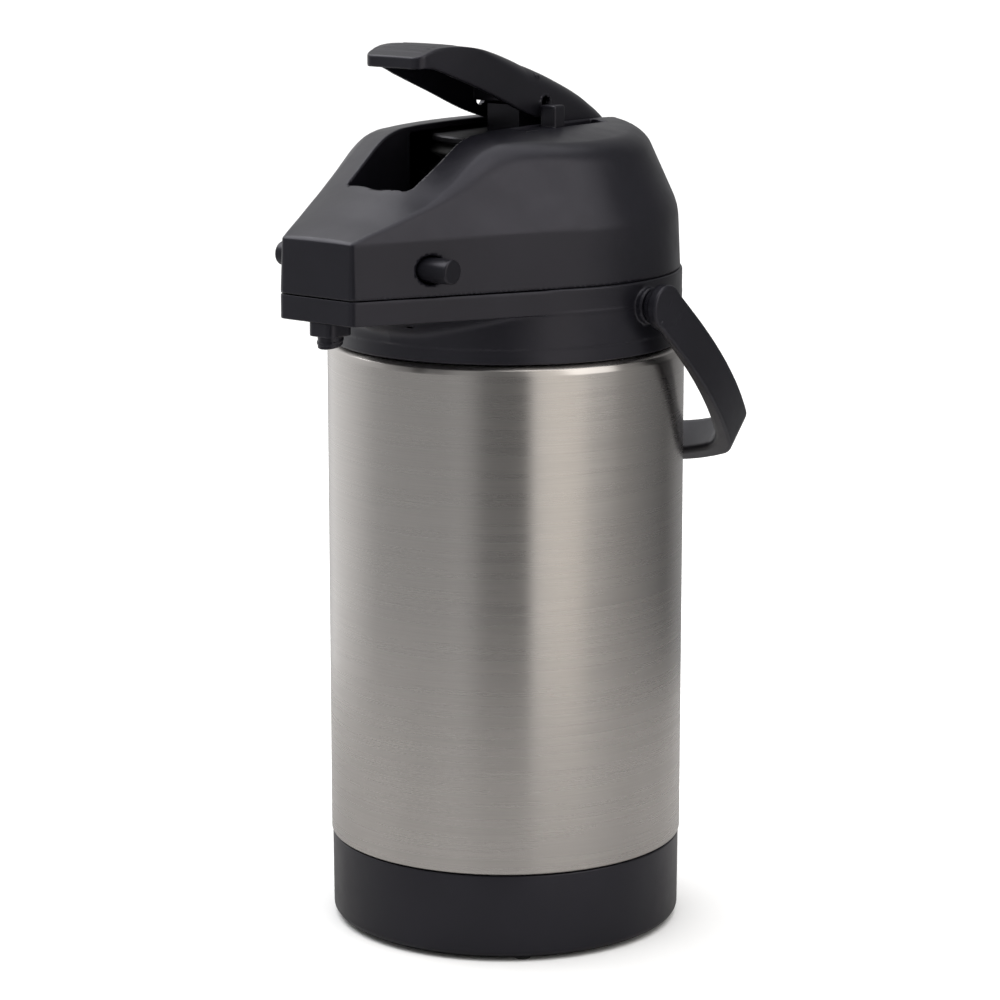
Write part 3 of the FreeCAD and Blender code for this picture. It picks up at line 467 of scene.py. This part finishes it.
REACH = 141.0                     # how far the beak's blunt front stands before the centre
HALF = 22.7                       # half its width there
COLLAR_R = 87.3
COLLAR_WALL = 3.0
HINGE_Y, HINGE_Z = 88.0, 334.5    # the lid's hinge pin
HINGE_BORE = 1.6
HINGE_EAR = 4.2
HANDLE_Z = 321.5
NOZZLE_Y = -131.0


def side_span(side, near, far):
    """The lowest and highest X of a piece between two distances on one side."""
    return min(side * near, side * far), max(side * near, side * far)


def collar_field(x, y, z):
    """The shoulder ring, the lower half of the beak, the throat, the bosses and hinge ears."""
    drum = both(np.hypot(x, y) - COLLAR_R, np.abs(z - 315.25) - 17.85, 0.7)
    plan = outline(x, y, COLLAR_R, REACH, HALF, 2.0)
    beak = both(plan, np.abs(z - 327.2) - 5.9, 0.6)
    fade = np.clip((z - 305.5) / 16.0, 0, 1)
    throat_plan = outline(x, y, COLLAR_R, 88.5 + 29.5 * fade ** 2.7, 9.0 + 11.0 * fade, 6.0)
    throat = both(throat_plan * 0.8, np.abs(z - 313.5) - 8.2, 0.5)
    solid = either(either(drum, throat, 1.2), beak, 1.2)
    bore = np.hypot(x, y) - (COLLAR_R - COLLAR_WALL)
    room_plan = outline(x, y, COLLAR_R - COLLAR_WALL, REACH - COLLAR_WALL, HALF - 2.1, 2.0)
    room = np.maximum(room_plan, 324.0 - z)
    bowl = np.maximum(bore, 314.0 - z)
    skirt = np.maximum(bore, z - 311.0)
    mouth = np.hypot(x, y) - 47.0
    solid = np.maximum(solid, -np.minimum(np.minimum(room, bowl), np.minimum(skirt, mouth)))
    for side in (-1, 1):
        boss = rod_x(x, y, z, 9.0, *side_span(side, 80, 91), 0, HANDLE_Z, 0.8)
        boss = np.maximum(boss, 80 - np.abs(x))
        solid = either(solid, boss, 0.8)
        ear = rod_x(x, y, z, HINGE_EAR, *side_span(side, 12, 20), HINGE_Y, HINGE_Z, 0.3)
        web = block(x, y, z, *side_span(side, 12, 20), 82.5, 92.2, 321.5, HINGE_Z, 0.3)
        ear = np.maximum(np.minimum(ear, web), -bore)
        solid = np.minimum(solid, ear)
    solid = np.maximum(solid, -(np.hypot(y - HINGE_Y, z - HINGE_Z) - HINGE_BORE))
    knuckle_room = block(x, y, z, -11.9, 11.9, 81.5, 96, 329.5, 345, 0.3)
    solid = np.maximum(solid, -knuckle_room)
    pipe_hole = np.hypot(x, y - NOZZLE_Y) - 4.8 + np.maximum(z - 330, 0)
    return np.maximum(solid, -pipe_hole)


field_piece("collar_moulding", collar_field, (-92, -142, 297), (92, 93, 339), 1.25, "pot",
            "black_plastic", "collar")


def holder_field(x, y, z):
    """The rounded block under the beak that grips the nozzle."""
    plan = both(np.abs(x) - 8.0, np.abs(y - NOZZLE_Y) - 8.0, 4.0)
    solid = both(plan, np.abs(z - 317.77) - 3.47, 0.5)
    return np.maximum(solid, -(np.hypot(x, y - NOZZLE_Y) - 6.4))


field_piece("nozzle_block", holder_field, (-8.2, -139.2, 314), (8.2, -122.8, 321.6), 0.6, "pot",
            "black_plastic", "nozzle_holder")


def nozzle_field(x, y, z):
    """The outlet tube: cut on a slant, with a raised ring just above the cut."""
    spread = np.hypot(x, y - NOZZLE_Y)
    tilt = 0.22
    level = z - tilt * (y - NOZZLE_Y)
    slant = (309.4 - level) / math.hypot(1, tilt)
    solid = both(both(spread - 6.0, slant, 0.5), z - 320.6, 0.3)
    lip = both(np.abs(spread - 5.9) - 0.5, np.abs(level - 311.9) - 0.6, 0.3)
    solid = either(solid, lip, 0.3)
    return np.maximum(solid, -(spread - np.where(z < 315.6, 4.4, 4.55)))


field_piece("nozzle_tip", nozzle_field, (-6.6, -138, 307.5), (6.6, -124, 321), 0.5, "pot",
            "black_plastic", "spout_nozzle")

# ---------------------------------------------------------------- lid

LID_R = 86.5
LID_Z = 333.5
LID_WALL = 3.4
DRAFT = 0.045                     # how the walls lean in up to the crease
FLARE = 0.45                      # and above it
CREASE_Z, CREASE_RISE = 362.8, 0.0244
WELL_FLOOR_END = -46.0            # the well has a floor in front of this line
BUTTON_Y, BUTTON_Z = -105.0, 346.0
# the roof's height along the centre line, and how quickly it falls away to the sides
ROOF = curve([
    (-141, 359.8), (-131, 364.6), (-121, 369.2), (-109, 375.4), (-97, 381.9), (-88.5, 387.4),
    (-80, 393.0), (-72, 398.4), (-64.7, 402.4), (-56.4, 404.7), (-45, 405.6), (-30, 405.9),
    (0, 405.9), (40, 405.5), (75, 404.2), (90, 403.4)])
CROWN = curve([
    (-141, 0.0008), (-121, 0.003), (-97, 0.0042), (-72, 0.0042), (-52, 0.0026),
    (-20, 0.0018), (90, 0.0016)])


def lid_form(x, y, z):
    """The lid's outer form, without its open underside."""
    crease = CREASE_Z + CREASE_RISE * y
    plan = outline(x, y, LID_R, REACH, HALF, 2.2)
    walls = plan + DRAFT * (z - 336.0)
    taper = (plan + DRAFT * (crease - 336.0) + FLARE * (z - crease)) / math.hypot(1, FLARE)
    slope = ROOF(y + 0.5) - ROOF(y - 0.5)
    roof = (z - ROOF(y) + CROWN(y) * x * x) / np.sqrt(1 + slope ** 2)
    form = shallow(walls, taper, 0.25 + 2.0 * ramp(y, -80, 60))
    crest = 1.2 + 5.6 * ramp(y, -110, -42)
    return both(form, roof, crest)


def well_plan(x, y):
    """Plan distance from the well the lever drops into."""
    half = 19.5 + 2.8 * ramp(y, -100, -68)
    scoop = 2.4 * np.exp(-((x - 2.0) / 9.0) ** 2)
    return both(both(np.abs(x) - half, -y - 96.6 - scoop, 3.5), y - 67.0, 2.0)


def lid_field(x, y, z):
    """The lid: a shell with the well and its floor, the openings, and the parts inside."""
    form = lid_form(x, y, z)
    shell = np.maximum(both(form, LID_Z - z, 0.5), -(form + LID_WALL))
    inside = form + 0.6
    well = well_plan(x, y)
    tub = np.maximum(np.maximum(well - 1.8, 362.2 - z), np.maximum(y - WELL_FLOOR_END, inside))
    shell = np.minimum(shell, tub)
    cut = both(well, np.where(y < WELL_FLOOR_END, 364.0 - z, -40.0), 1.5)
    shell = less(shell, cut, 1.1)
    for side in (-1, 1):
        # the lever pin's ear, the button's hole and the room for the collar's hinge ear
        ear = block(x, y, z, *side_span(side, 23.4, 26.4), 55.0, 65.0, 388.0, 403.5, 0.4)
        shell = np.minimum(shell, np.maximum(ear, inside))
        hole = np.maximum(np.hypot(y - BUTTON_Y + 0.6, z - BUTTON_Z) - 6.8, 24 - side * x)
        shell = less(shell, hole, 0.5)
        clear = block(x, y, z, *side_span(side, 12, 20.6), 81.5, 96.0, 330, 339.3, 0.3)
        shell = np.maximum(shell, -clear)
    slot = block(x, y, z, 23.7, 34.1, -26.0, 38.0, 397.0, 412.0, 0.8)
    shell = less(shell, slot, 0.5)
    barrel = rod_x(x, y, z, HINGE_EAR, -11.6, 11.6, HINGE_Y, HINGE_Z, 0.3)
    web = block(x, y, z, -11.6, 11.6, 82.5, 92.2, HINGE_Z, 347.5, 0.3)
    shell = np.minimum(shell, np.minimum(barrel, np.maximum(web, -(form + LID_WALL))))
    shell = np.maximum(shell, -(np.hypot(y - HINGE_Y, z - HINGE_Z) - HINGE_BORE))
    for i in range(4):
        bearing = math.radians(45 + 90 * i)
        cx, cy = 62 * math.cos(bearing), 62 * math.sin(bearing)
        post = np.maximum(np.hypot(x - cx, y - cy) - 3.6, np.maximum(337.7 - z, inside))
        shell = np.minimum(shell, post)
    return shell


field_piece("lid_moulding", lid_field, (-88, -143, 329), (88, 93, 407), 1.2, "lid",
            "black_plastic", "lid_cover")

# ---------------------------------------------------------------- bellows and its spring

FOLDS = 6
SEAT_Z, PLATE_Z = 338.0, 396.0


def bellows_profile():
    """The zigzag wall as a closed profile, its fold tips rounded."""
    rise = (PLATE_Z - SEAT_Z) / (2 * FOLDS)
    last = 2 * FOLDS
    outer = [(38.5 if i % 2 else 31.5, SEAT_Z + i * rise, 0.9 if 0 < i < last else 0)
             for i in range(last + 1)]
    inner = [(r - 1.2, z, rounding * 0.7) for r, z, rounding in outer]
    return outer + inner[::-1]


bellows = lathe_piece("bellows_rubber", bellows_profile(), 96, "lid", "rubber", "bellows")
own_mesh(bellows)


def coil_mesh(radius, wire, low, high, turns):
    """A compression spring with closed ends, as a round wire swept along its winding."""
    steps = turns * 40
    sides = 10
    verts = []
    for i in range(steps + 1):
        t = i / steps
        turn = 2 * math.pi * turns * t
        z = low + (high - low) * (0.35 * t + 0.65 * t * t * (3 - 2 * t))
        for k in range(sides):
            a = 2 * math.pi * k / sides
            r = radius + wire / 2 * math.cos(a)
            height = z + wire / 2 * math.sin(a)
            verts.append((r * MM * math.cos(turn), r * MM * math.sin(turn), height * MM))
    faces = []
    for i in range(steps):
        low_ring, high_ring = i * sides, (i + 1) * sides
        for k in range(sides):
            m = (k + 1) % sides
            faces.append((low_ring + k, high_ring + k, high_ring + m, low_ring + m))
    faces.append(tuple(range(sides)))
    faces.append(tuple(steps * sides + k for k in reversed(range(sides))))
    mesh = bpy.data.meshes.new("return_coil")
    mesh.from_pydata(verts, [], faces)
    mesh.update()
    mesh.shade_smooth()
    mesh.set_sharp_from_angle(angle=math.radians(40))
    return mesh


WIRE = 1.8
SPRING_LOW, SPRING_HIGH = 339.8, 394.8      # the wire's centre line, so it stands on 338.9
coil = make_object("return_coil", coil_mesh(20.0, WIRE, SPRING_LOW, SPRING_HIGH, 7), "lid",
                   "spring_steel", "return_spring")
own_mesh(coil)

# ---------------------------------------------------------------- lever

LEVER_TOP = curve([
    (-86.5, 442.0), (-76, 445.4), (-60, 446.2), (-45, 444.4), (-31, 441.4), (-7, 435.2),
    (18, 426.4), (43, 414.8), (57, 405.4), (64.5, 397.6)])
LEVER_UNDER = curve([
    (-86.5, 436.4), (-78, 436.3), (-60, 430.3), (-39, 422.3), (-5, 408.8), (10, 404.4),
    (30, 400.0), (53, 396.0), (60, 389.5)])
PIVOT_Y, PIVOT_Z = 60.0, 393.5
EYE_Y, EYE_Z = 4.0, 414.6
LEVER_WALL = 2.4
GRIP_END = -8.0                   # the flat grip runs out to a point on the centre line here
RIDGE_PITCH, RIDGE_HEIGHT = 4.8, 0.32


def lever_top(x, y):
    """Height and slope of the lever's top: a flat grip that runs out over an arched back."""
    centre = LEVER_TOP(y)
    slope = LEVER_TOP(y + 0.5) - LEVER_TOP(y - 0.5)
    arch = 0.0085 * x * x - 3.7 * np.clip((GRIP_END - y) / 40.0, 0, 3)
    grip = 0.0008 * x * x
    drop = np.maximum(arch, grip) + 0.25 * np.maximum(0.8 - np.abs(arch - grip), 0) ** 2
    ridge = RIDGE_HEIGHT * (0.5 + 0.5 * np.cos(2 * math.pi * (y + 80.0) / RIDGE_PITCH))
    ridge = ridge * ramp(y, -82, -78) * ramp(-y, 52, 58) * ramp(-np.abs(x), -15.5, -13)
    return centre - drop + ridge, slope


def lever_field(x, y, z):
    """The lever: a channel open below, with its hub, cross rib and two eyes."""
    half = 17.0 + 4.7 * ramp(y, -96, -42)
    plan = both(np.abs(x) - half, -y - 86.3, 5.0)
    plan = both(plan, y - 65.5, 1.5)
    height, slope = lever_top(x, y)
    top = (z - height) / np.sqrt(1 + slope ** 2)
    soft = 1.1 + 6.0 * ramp(y, -60, 0)
    outer = both(plan, top, soft)
    under_slope = LEVER_UNDER(y + 0.5) - LEVER_UNDER(y - 0.5)
    under = (LEVER_UNDER(y) - z) / np.sqrt(1 + under_slope ** 2)
    outer = both(outer, under, 0.7)
    room = np.maximum(both(plan + LEVER_WALL, top + LEVER_WALL + 0.2, soft), y - 54.0)
    solid = less(outer, room, 0.4)
    from_pin = np.hypot(y - PIVOT_Y, z - PIVOT_Z)
    hub = both(from_pin - 4.6, np.abs(x) - 21.7, 0.5)
    web = block(x, y, z, -20, 20, PIVOT_Y - 2, PIVOT_Y + 2, PIVOT_Z, PIVOT_Z + 7, 0.3)
    solid = either(solid, hub, 1.0)
    solid = np.minimum(solid, web)
    rib = block(x, y, z, -20.5, 20.5, -1.2, 1.2, 414.2, 433.0, 0.3)
    solid = np.minimum(solid, np.maximum(rib, top + 1.0))
    spread = np.hypot(y - EYE_Y, z - EYE_Z)
    ring = both(spread - 4.7, np.abs(x) - 22.0, 0.45)
    solid = either(solid, np.maximum(ring, 19.5 - np.abs(x)), 0.3)
    solid = np.maximum(solid, -(spread - 3.3))
    return np.maximum(solid, -(from_pin - 2.05))


field_piece("lever_moulding", lever_field, (-22.5, -87, 388), (22.5, 66, 447), 0.9, "lever",
            "lever_plastic", "pump_lever")

# ---------------------------------------------------------------- lock tab and release buttons

def tab_field(x, y, z):
    """The lock tab on its sliding plate, with a pad that closes the slot in front of it."""
    tab = block(x, y, z, 24.0, 33.4, -3.5, 5.0, 400.6, 414.5, 1.3)
    plate = block(x, y, z, 22.6, 34.8, -27.5, 7.0, 400.4, 402.2, 0.3)
    pad = block(x, y, z, 24.0, 33.4, -25.2, -3.0, 401.2, 403.8, 0.5)
    return either(np.minimum(plate, pad), tab, 0.5)


field_piece("lock_key", tab_field, (22, -28, 400), (35.4, 8, 415), 0.6, "lock",
            "lever_plastic", "lock_tab")

for side, word in ((1, "right"), (-1, "left")):
    def button_field(x, y, z, s=side):
        """A hollow round button with the latch hook that hangs from it."""
        u = x * s
        cap = rod_x(u, y, z, 5.9, 29.0, 53.7, BUTTON_Y, BUTTON_Z, 0.9)
        bore = both(np.hypot(y - BUTTON_Y, z - BUTTON_Z) - 4.4, u - 43.0, 0.2)
        cap = np.maximum(cap, -bore)
        stem = block(u, y, z, 29.0, 32.0, BUTTON_Y - 3, BUTTON_Y + 3, 326.0, 341.6, 0.3)
        toe = block(u, y, z, 29.0, 35.6, BUTTON_Y - 3, BUTTON_Y + 3, 326.0, 328.0, 0.3)
        return np.minimum(cap, np.minimum(stem, toe))

    low_x, high_x = side_span(side, 28.5, 54.0)
    field_piece("button_cap_" + word, button_field, (low_x, -112, 325.5), (high_x, -98, 353),
                0.6, "button_" + word, "lever_plastic", "release_button_" + word)

# ---------------------------------------------------------------- carry handle

HANG = math.radians(41.5)         # how far below level the handle hangs
ARM_X = 98.0                      # the middle of an arm, at its pivot
ARM_HALF = 3.0
STRAP_HALF = 10.5


def strap_edge(u, v, root, straight, corner_u, corner_v, crown, r):
    """Plan distance inside one edge of the strap: a straight, an arm leaning in, then the bar."""
    lean = root - corner_u
    length = corner_v - straight
    arm_r = (length ** 2 + lean ** 2) / (2 * lean)
    arm = np.where(v > straight, np.hypot(u - root + arm_r, v - straight) - arm_r, u - root)
    rise = crown - corner_v
    bar_r = (corner_u ** 2 + rise ** 2) / (2 * rise)
    bar = np.hypot(u, v - crown + bar_r) - bar_r
    return both(arm, bar, r)


def handle_field(x, y, z):
    """The swinging handle: a bent strap, rounder inside than outside, on two pierced eyes."""
    u = np.abs(x)
    out = y * math.cos(HANG) - (z - HANDLE_Z) * math.sin(HANG)
    across = y * math.sin(HANG) + (z - HANDLE_Z) * math.cos(HANG)
    from_pin = np.hypot(out, across)
    width = np.abs(across) - STRAP_HALF
    outer = strap_edge(u, out, ARM_X + ARM_HALF, 20, 82.6, 116.2, 138.5, 5.0)
    inner = strap_edge(u, out, ARM_X - ARM_HALF, 12, 75.5, 109.5, 130.5, 6.0)
    strap = np.maximum(both(outer, width, 1.3), both(-inner, width, 3.2))
    strap = np.maximum(strap, -out)
    eye = both(from_pin - 11.0, np.abs(u - ARM_X) - ARM_HALF, 1.3)
    solid = either(strap, eye, 0.4)
    stub = both(from_pin - 8.0, np.abs(u - 93.5) - 2.2, 0.3)
    solid = np.minimum(solid, stub)
    return np.maximum(solid, -np.maximum(from_pin - 4.05, u - 99.8))


field_piece("handle_moulding", handle_field, (-102, -14, 208), (102, 112, 336), 1.15, "handle",
            "black_plastic", "carry_handle")

# ---------------------------------------------------------------- floor, lights and camera

def matt(name, dark, light, scale):
    """A plain matt surface with a barely uneven tone."""
    n = Nodes(name)
    n.ramp(n.noise((scale, scale, scale), 2), dark, light, n.shader.inputs["Base Color"])
    n.shader.inputs["Roughness"].default_value = 0.9
    n.shader.inputs["Specular IOR Level"].default_value = 0.1
    return n.material


def flat_sheet(name, outline_points, material):
    """A flat sheet of one face, for the floor and what the shell mirrors."""
    mesh = bpy.data.meshes.new(name)
    mesh.from_pydata(outline_points, [], [tuple(range(len(outline_points)))])
    mesh.materials.append(material)
    sheet = bpy.data.objects.new(name, mesh)
    bpy.context.scene.collection.objects.link(sheet)
    return sheet


floor = flat_sheet("floor", [(-30, -30, 0), (30, -30, 0), (30, 30, 0), (-30, 30, 0)],
                   matt("pale_floor", (0.90, 0.90, 0.90), (0.92, 0.92, 0.92), 3))
floor.visible_glossy = False

# the part of the table that the shell mirrors, close by: a sheet seen only in reflections, its grey
# a painted shade that makes it darker than the lit floor
TABLE_R, TABLE_Z, TABLE_POINTS = 0.50, 0.0004, 96
turns = np.linspace(0, 2 * math.pi, TABLE_POINTS, endpoint=False)
rim = [(TABLE_R * math.cos(t), TABLE_R * math.sin(t), TABLE_Z) for t in turns]
# painted shade: this grey sheet stands in for the dimmer table near the pot, and only the shell's
# reflections see it
table = flat_sheet("table", rim, matt("painted_table_shade", (0.30, 0.295, 0.29), (0.34, 0.335, 0.33), 5))
table.visible_camera = False
table.visible_diffuse = False
table.visible_shadow = False

world = bpy.data.worlds.new("studio")
bpy.context.scene.world = world
world.use_nodes = True
wt = world.node_tree
background = wt.nodes["Background"]
background.inputs["Strength"].default_value = 0.78


def world_math(operation, first, second):
    """One maths node in the world's tree; an input is a socket or a number."""
    node = wt.nodes.new("ShaderNodeMath")
    node.operation = operation
    for socket, value in zip(node.inputs, (first, second)):
        if isinstance(value, float):
            socket.default_value = value
        else:
            wt.links.new(value, socket)
    return node.outputs["Value"]


direction = wt.nodes.new("ShaderNodeTexCoord")
parts = wt.nodes.new("ShaderNodeSeparateXYZ")
wt.links.new(direction.outputs["Generated"], parts.inputs["Vector"])
front = world_math("MULTIPLY", parts.outputs["Y"], -1.0)
azimuth = world_math("ARCTAN2", parts.outputs["X"], front)
around = wt.nodes.new("ShaderNodeMapRange")
around.inputs["From Min"].default_value = -math.pi
around.inputs["From Max"].default_value = math.pi
wt.links.new(azimuth, around.inputs["Value"])

# the studio's walls by bearing in degrees from -Y, positive towards +X: brightness, warmth
WALLS = [
    (-180, 0.30, 0.0), (-140, 0.50, 0.0), (-112, 1.12, 0.0), (-90, 1.0, 0.0), (-75, 0.84, 0.0),
    (-53, 0.52, 0.0), (-36, 0.45, 0.0), (0, 0.45, 0.0), (9, 0.50, 0.0), (18, 0.40, 0.0),
    (26, 0.20, 0.0), (53, 0.15, 0.0), (57, 0.95, 0.02), (63, 1.05, 0.04), (76, 1.08, 0.05),
    (86, 0.88, 0.05), (96, 0.55, 0.03), (110, 0.40, 0.02), (122, 0.36, 0.02), (141, 0.26, 0.0),
    (165, 0.16, 0.0), (180, 0.28, 0.0)]
walls = wt.nodes.new("ShaderNodeValToRGB")
stops = walls.color_ramp.elements
while len(stops) < len(WALLS):
    stops.new(0.5)
for stop, (bearing, level, warm) in zip(stops, WALLS):
    stop.position = (bearing + 180) / 360
for stop, (bearing, level, warm) in zip(stops, WALLS):
    stop.color = (level * (1 + warm), level, level * (1 - 1.4 * warm), 1)
wt.links.new(around.outputs["Result"], walls.inputs["Fac"])
wt.links.new(walls.outputs["Color"], background.inputs["Color"])


def softbox(name, place, aim, width, height, power, color=(1, 1, 1)):
    """A soft rectangular lamp that the camera doesn't see."""
    data = bpy.data.lights.new(name, "AREA")
    data.shape = "RECTANGLE"
    data.size, data.size_y = width, height
    data.energy = power
    data.color = color
    light = bpy.data.objects.new(name, data)
    light.location = place
    light.rotation_mode = "QUATERNION"
    light.rotation_quaternion = (Vector(aim) - Vector(place)).to_track_quat("-Z", "Y")
    light.visible_camera = False
    bpy.context.scene.collection.objects.link(light)


softbox("overhead", (-0.3, -0.1, 2.2), (0, 0, 0.3), 2.4, 2.4, 20)
softbox("top_left", (-1.3, -0.4, 1.6), (0, 0, 0.4), 1.2, 0.8, 6)
softbox("front_right", (1.5, 0.2, 1.2), (0, 0, 0.35), 1.0, 1.8, 7, (1.0, 0.98, 0.95))

# the room's own soft light, which brightens the floor and makes no highlights
room = bpy.data.lights.new("room", "SUN")
room.energy = 2.6
room.angle = math.radians(90)
room_light = bpy.data.objects.new("room", room)
room_light.location = (0, 0, 3)
room_light.visible_glossy = False
bpy.context.scene.collection.objects.link(room_light)

LENS = 127.0
CAMERA = Vector((1.095, -1.352, 0.578))
TARGET = Vector((-0.00223, -0.0018, 0.2140))
camera_data = bpy.data.cameras.new("camera")
camera_data.lens = LENS
camera_data.sensor_width = 36.0
camera_data.clip_end = 60.0
camera = bpy.data.objects.new("camera", camera_data)
camera.location = CAMERA
camera.rotation_mode = "QUATERNION"
camera.rotation_quaternion = (TARGET - CAMERA).to_track_quat("-Z", "Y")
bpy.context.scene.collection.objects.link(camera)
bpy.context.scene.camera = camera
bpy.context.scene.view_settings.view_transform = "Standard"
